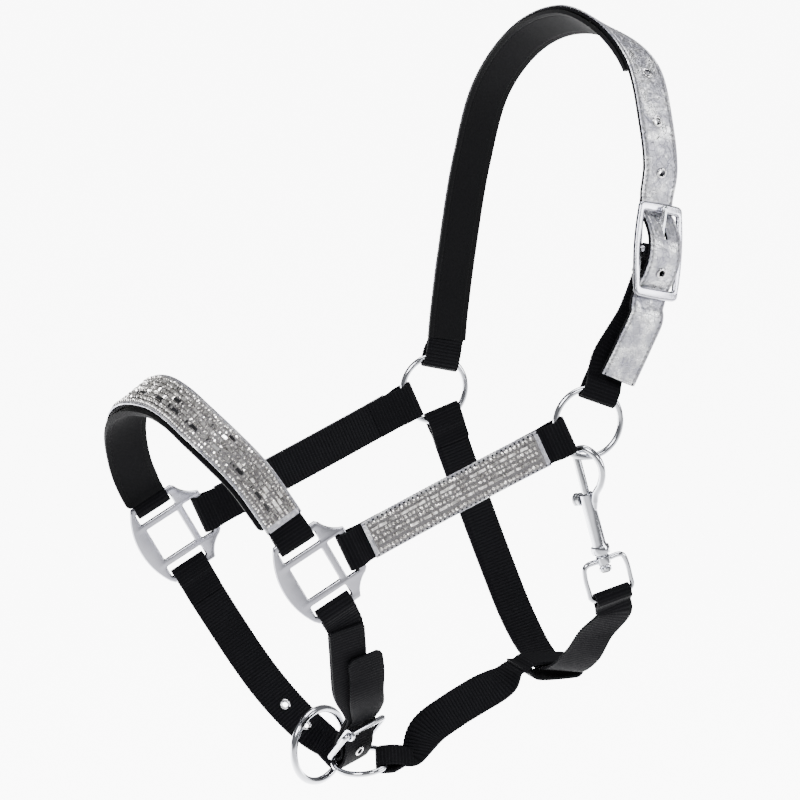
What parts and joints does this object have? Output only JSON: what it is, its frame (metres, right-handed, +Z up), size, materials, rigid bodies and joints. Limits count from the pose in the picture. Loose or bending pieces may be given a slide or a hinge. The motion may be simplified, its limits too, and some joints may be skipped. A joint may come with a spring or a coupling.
{
  "type": "horse headcollar",
  "caption": "Webbing headcollar with padded noseband and crown, crystal-set foil overlays, cast halter squares, rings, two buckles and a snap clip.",
  "frame": {"origin": "underside of the crownpiece lining at the poll, where the horse's head carries it", "axes": "+Z up, -X towards the nose, -Y the near (left) side"},
  "size_m": [0.3643, 0.1785, 0.5272],
  "materials": {
    "webbing": "ribbed black nylon webbing",
    "lining": "soft black felted lining",
    "foil": "crinkled silver foil on faux leather",
    "crystal": "set round and baguette stones, silver backed",
    "plated_metal": "bright plated cast metal",
    "bolt_steel": "plated steel"
  },
  "bodies": {
    "straps": {"near_cheek_webbing": "webbing", "near_cheek_overlay": "foil", "near_cheek_crystal_strip": "crystal", "far_cheek_webbing": "webbing", "far_cheek_overlay": "foil", "far_cheek_crystal_strip": "crystal", "near_halter_square": "plated_metal", "far_halter_square": "plated_metal", "noseband_webbing": "webbing", "noseband_lining": "lining", "noseband_overlay": "foil", "noseband_crystal_strip": "crystal", "crown_webbing": "webbing", "crown_overlay": "foil", "crown_lining": "lining", "crown_eyelet_1": "plated_metal", "crown_buckle_frame": "plated_metal", "crown_eyelet_2": "plated_metal", "crown_eyelet_3": "plated_metal", "crown_eyelet_4": "plated_metal", "crown_buckle_strap": "webbing", "near_chin_strap": "webbing", "far_chin_strap": "webbing", "chin_eyelet_1": "plated_metal", "chin_eyelet_2": "plated_metal", "chin_eyelet_3": "plated_metal", "snap_eye": "plated_metal", "throat_strap": "webbing", "connecting_strap": "webbing", "chin_buckle_frame": "plated_metal"},
    "near_ring": {"near_cheek_ring": "plated_metal"},
    "far_ring": {"far_cheek_ring": "plated_metal"},
    "lead_ring": {"lead_ring": "plated_metal"},
    "link_ring": {"link_ring": "plated_metal"},
    "crown_tongue": {"crown_buckle_tongue": "plated_metal"},
    "chin_tongue": {"chin_buckle_tongue": "plated_metal"},
    "snap": {"snap_body": "plated_metal", "snap_spring": "bolt_steel"},
    "snap_bolt": {"snap_bolt": "bolt_steel"}
  },
  "joints": [
    {"name": "near_ring_spin", "type": "hinge", "parent": "straps", "child": "near_ring", "pos_m": [-0.019, -0.08, -0.253], "axis": [0, -1, 0], "continuous": true},
    {"name": "far_ring_spin", "type": "hinge", "parent": "straps", "child": "far_ring", "pos_m": [-0.073, 0.076, -0.253], "axis": [0, -1, 0], "continuous": true},
    {"name": "lead_ring_spin", "type": "hinge", "parent": "straps", "child": "lead_ring", "pos_m": [-0.175, 0.017, -0.484], "axis": [0.5, -0.866, 0], "continuous": true},
    {"name": "link_ring_spin", "type": "hinge", "parent": "straps", "child": "link_ring", "pos_m": [-0.15156, -0.0055, -0.49113], "axis": [0.1356, 0.1751, -0.9752], "continuous": true},
    {"name": "crown_tongue_lift", "type": "hinge", "parent": "straps", "child": "crown_tongue", "pos_m": [0.027, -0.084, -0.141], "axis": [0.9437, 0.2519, -0.2142], "range_deg": [0, 4]},
    {"name": "chin_tongue_swing", "type": "hinge", "parent": "straps", "child": "chin_tongue", "pos_m": [-0.15254, -0.01556, -0.46472], "axis": [0.8742, 0.4421, 0.201], "range_deg": [-10, 10]},
    {"name": "snap_swivel", "type": "hinge", "parent": "straps", "child": "snap", "pos_m": [-0.01751, -0.07349, -0.30145], "axis": [-0.27, 0, 0.9629], "range_deg": [-10, 0]},
    {"name": "snap_bolt_slide", "type": "slide", "parent": "snap", "child": "snap_bolt", "axis": [0.27, 0, -0.9629], "range_m": [0, 0.008], "stiffness_N_per_m": 250, "springref_m": -0.004, "deforming": ["snap_spring"]}
  ]
}
